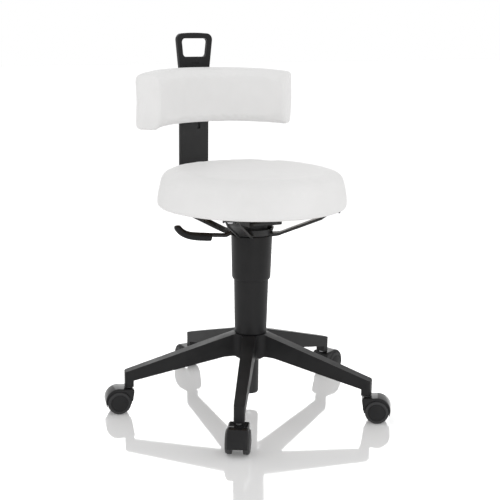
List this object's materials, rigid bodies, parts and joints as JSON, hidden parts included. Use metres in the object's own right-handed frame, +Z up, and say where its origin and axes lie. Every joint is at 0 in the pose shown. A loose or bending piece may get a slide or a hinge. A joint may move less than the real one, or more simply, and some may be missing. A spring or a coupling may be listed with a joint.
{
  "type": "dentist stool",
  "caption": "Round padded stool on a height-adjustable column with a castored star base, a seat lever and a curved backrest on a mast with a loop handle.",
  "frame": {"origin": "on the floor, under the axis of the column", "axes": "+Z up along the column; the sitter faces -Y, the mast and backrest stand at +Y, and the sitter's right hand is at -X"},
  "size_m": [0.6154, 0.5852, 0.791],
  "materials": {
    "moulded_black": "satin moulded nylon",
    "powder_coat": "fine black powder coat",
    "cast_housing": "black painted die-casting",
    "bare_steel": "zinc plated",
    "cylinder_paint": "black gloss",
    "seal_rubber": "matte",
    "plywood": "bare birch ply",
    "white_leather": "matte off-white artificial leather",
    "caster_wheel": "soft tread on a hard core"
  },
  "bodies": {
    "base": {"five_star_base": "moulded_black", "hub_ring": "bare_steel", "stand_tube": "powder_coat", "guide_bush": "moulded_black", "thrust_bearing": "bare_steel", "lower_cover": "moulded_black"},
    "spindle": {"piston_rod": "bare_steel", "rod_clip": "bare_steel", "piston": "bare_steel", "rubber_bumper": "seal_rubber"},
    "seat": {"gas_cylinder": "cylinder_paint", "rod_guide_seal": "seal_rubber", "upper_cover": "moulded_black", "taper_socket": "bare_steel", "seat_carrier": "powder_coat", "mechanism_housing": "cast_housing", "lever_pivot_pin": "bare_steel", "mast_guide": "powder_coat", "glide_plate": "moulded_black", "seat_board": "plywood", "seat_bolts": "bare_steel", "seat_cushion": "white_leather"},
    "valve": {"valve_pin": "bare_steel"},
    "lever": {"lever_rod": "powder_coat", "lever_grip": "moulded_black"},
    "knob": {"clamp_knob": "moulded_black", "knob_stud": "bare_steel"},
    "mast": {"mast_bar": "powder_coat"},
    "backrest": {"backrest_carrier": "moulded_black", "detent_spring": "bare_steel", "backrest_bracket": "moulded_black", "backrest_screws": "bare_steel", "backrest_board": "plywood", "backrest_cushion": "white_leather"},
    "caster_1": {"caster_1_stem": "bare_steel", "caster_1_housing": "moulded_black", "caster_1_axle": "bare_steel"},
    "caster_1_left": {"caster_1_wheel_left": "caster_wheel"},
    "caster_1_right": {"caster_1_wheel_right": "caster_wheel"},
    "caster_2": {"caster_2_stem": "bare_steel", "caster_2_housing": "moulded_black", "caster_2_axle": "bare_steel"},
    "caster_2_left": {"caster_2_wheel_left": "caster_wheel"},
    "caster_2_right": {"caster_2_wheel_right": "caster_wheel"},
    "caster_3": {"caster_3_stem": "bare_steel", "caster_3_housing": "moulded_black", "caster_3_axle": "bare_steel"},
    "caster_3_left": {"caster_3_wheel_left": "caster_wheel"},
    "caster_3_right": {"caster_3_wheel_right": "caster_wheel"},
    "caster_4": {"caster_4_stem": "bare_steel", "caster_4_housing": "moulded_black", "caster_4_axle": "bare_steel"},
    "caster_4_left": {"caster_4_wheel_left": "caster_wheel"},
    "caster_4_right": {"caster_4_wheel_right": "caster_wheel"},
    "caster_5": {"caster_5_stem": "bare_steel", "caster_5_housing": "moulded_black", "caster_5_axle": "bare_steel"},
    "caster_5_left": {"caster_5_wheel_left": "caster_wheel"},
    "caster_5_right": {"caster_5_wheel_right": "caster_wheel"}
  },
  "joints": [
    {"name": "seat_swivel", "type": "hinge", "parent": "base", "child": "spindle", "pos_m": [0, 0, 0.2], "axis": [0, 0, 1], "continuous": true},
    {"name": "seat_height", "type": "slide", "parent": "spindle", "child": "seat", "axis": [0, 0, 1], "range_m": [-0.085, 0]},
    {"name": "lever_lift", "type": "hinge", "parent": "seat", "child": "lever", "pos_m": [-0.02363, 0.00417, 0.389], "axis": [0.1736, 0.9848, 0], "range_deg": [0, 4.5], "stiffness_Nm_per_rad": 1},
    {"name": "valve_press", "type": "slide", "parent": "seat", "child": "valve", "axis": [0, 0, -1], "range_m": [0, 0.002], "stiffness_N_per_m": 200},
    {"name": "backrest_depth", "type": "slide", "parent": "seat", "child": "mast", "axis": [0, 1, 0], "range_m": [-0.02, 0.03]},
    {"name": "knob_turn", "type": "hinge", "parent": "seat", "child": "knob", "pos_m": [0.018, 0.068, 0.384], "axis": [0, 0, 1], "range_deg": [0, 360]},
    {"name": "backrest_height", "type": "slide", "parent": "mast", "child": "backrest", "axis": [0, 0, 1], "range_m": [-0.03, 0.03]},
    {"name": "caster_1_swivel", "type": "hinge", "parent": "base", "child": "caster_1", "pos_m": [0, 0.2655, 0.06], "axis": [0, 0, 1], "continuous": true},
    {"name": "caster_1_left_spin", "type": "hinge", "parent": "caster_1", "child": "caster_1_left", "pos_m": [0, 0.288, 0.025], "axis": [-1, 0, 0], "continuous": true},
    {"name": "caster_1_right_spin", "type": "hinge", "parent": "caster_1", "child": "caster_1_right", "pos_m": [0, 0.288, 0.025], "axis": [-1, 0, 0], "continuous": true},
    {"name": "caster_2_swivel", "type": "hinge", "parent": "base", "child": "caster_2", "pos_m": [-0.25251, 0.08204, 0.06], "axis": [0, 0, 1], "continuous": true},
    {"name": "caster_2_left_spin", "type": "hinge", "parent": "caster_2", "child": "caster_2_left", "pos_m": [-0.2739, 0.089, 0.025], "axis": [-0.309, -0.9511, 0], "continuous": true},
    {"name": "caster_2_right_spin", "type": "hinge", "parent": "caster_2", "child": "caster_2_right", "pos_m": [-0.2739, 0.089, 0.025], "axis": [-0.309, -0.9511, 0], "continuous": true},
    {"name": "caster_3_swivel", "type": "hinge", "parent": "base", "child": "caster_3", "pos_m": [-0.15606, -0.21479, 0.06], "axis": [0, 0, 1], "continuous": true},
    {"name": "caster_3_left_spin", "type": "hinge", "parent": "caster_3", "child": "caster_3_left", "pos_m": [-0.16928, -0.233, 0.025], "axis": [0.809, -0.5878, 0], "continuous": true},
    {"name": "caster_3_right_spin", "type": "hinge", "parent": "caster_3", "child": "caster_3_right", "pos_m": [-0.16928, -0.233, 0.025], "axis": [0.809, -0.5878, 0], "continuous": true},
    {"name": "caster_4_swivel", "type": "hinge", "parent": "base", "child": "caster_4", "pos_m": [0.15606, -0.21479, 0.06], "axis": [0, 0, 1], "continuous": true},
    {"name": "caster_4_left_spin", "type": "hinge", "parent": "caster_4", "child": "caster_4_left", "pos_m": [0.17354, -0.22895, 0.025], "axis": [0.6293, 0.7771, 0], "continuous": true},
    {"name": "caster_4_right_spin", "type": "hinge", "parent": "caster_4", "child": "caster_4_right", "pos_m": [0.17354, -0.22895, 0.025], "axis": [0.6293, 0.7771, 0], "continuous": true},
    {"name": "caster_5_swivel", "type": "hinge", "parent": "base", "child": "caster_5", "pos_m": [0.25251, 0.08204, 0.06], "axis": [0, 0, 1], "continuous": true},
    {"name": "caster_5_left_spin", "type": "hinge", "parent": "caster_5", "child": "caster_5_left", "pos_m": [0.2739, 0.089, 0.025], "axis": [-0.309, 0.9511, 0], "continuous": true},
    {"name": "caster_5_right_spin", "type": "hinge", "parent": "caster_5", "child": "caster_5_right", "pos_m": [0.2739, 0.089, 0.025], "axis": [-0.309, 0.9511, 0], "continuous": true}
  ],
  "couplings": [
    {"joint": "valve_press", "follows": "lever_lift", "m_per_rad": 0.024}
  ]
}
